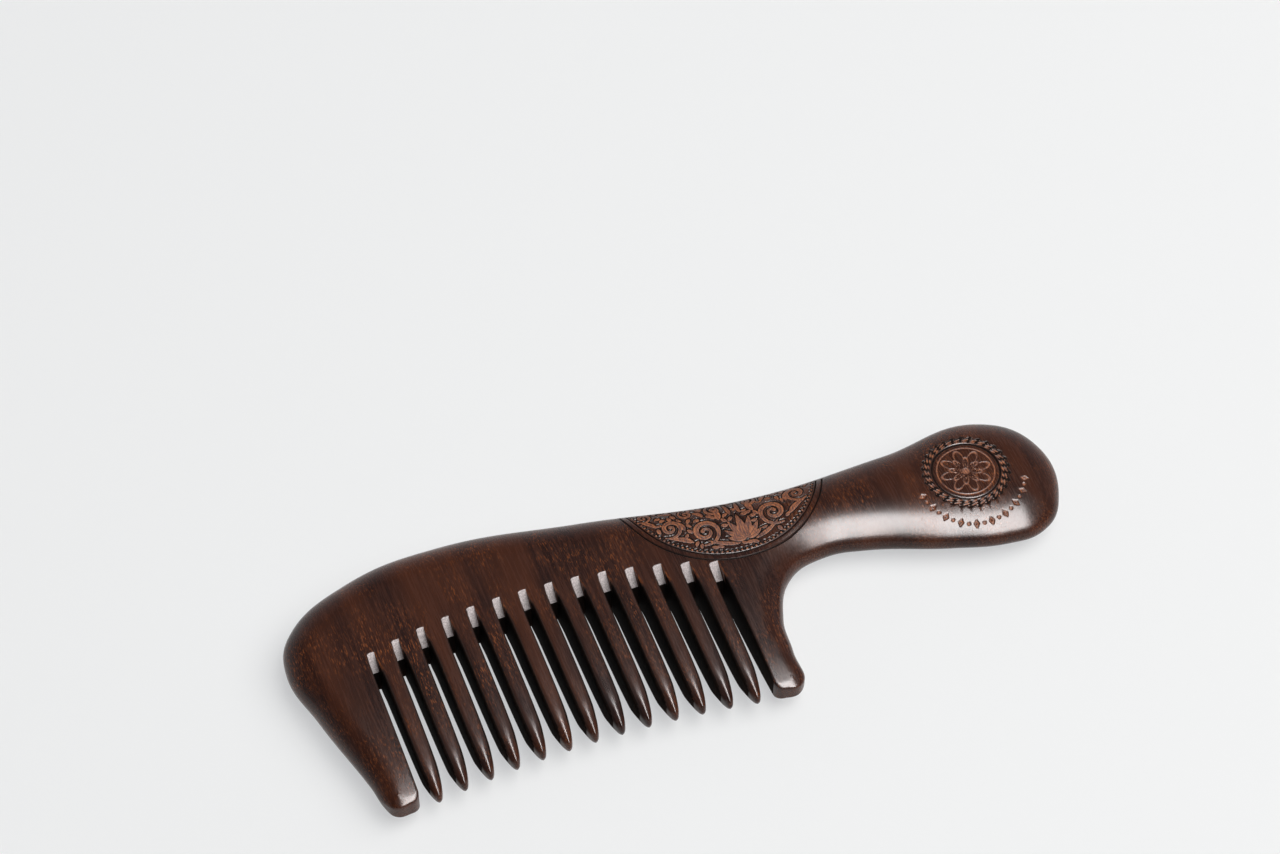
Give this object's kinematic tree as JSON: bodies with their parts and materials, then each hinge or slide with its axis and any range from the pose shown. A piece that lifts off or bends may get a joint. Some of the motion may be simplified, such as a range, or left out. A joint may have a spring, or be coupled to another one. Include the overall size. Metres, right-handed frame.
{
  "type": "wide-tooth hair comb",
  "caption": "Handled hair comb carved from a dark hardwood board, with widely spaced tapering teeth between end guards and a rounded handle.",
  "frame": {"origin": "centre of the comb's footprint, on the flat face it lies on", "axes": "+X along the comb towards the handle's butt, -Y along the teeth towards their tips, +Z out of the upper face"},
  "size_m": [0.19, 0.067, 0.0115],
  "materials": {
    "board_wood": "waxed and polished",
    "tooth_wood": "waxed and polished"
  },
  "bodies": {
    "root": {"head": "board_wood", "handle": "board_wood", "guard_left": "board_wood", "guard_right": "board_wood", "tooth_01": "tooth_wood", "tooth_02": "tooth_wood", "tooth_03": "tooth_wood", "tooth_04": "tooth_wood", "tooth_05": "tooth_wood", "tooth_06": "tooth_wood", "tooth_07": "tooth_wood", "tooth_08": "tooth_wood", "tooth_09": "tooth_wood", "tooth_10": "tooth_wood", "tooth_11": "tooth_wood", "tooth_12": "tooth_wood", "tooth_13": "tooth_wood"}
  },
  "joints": []
}
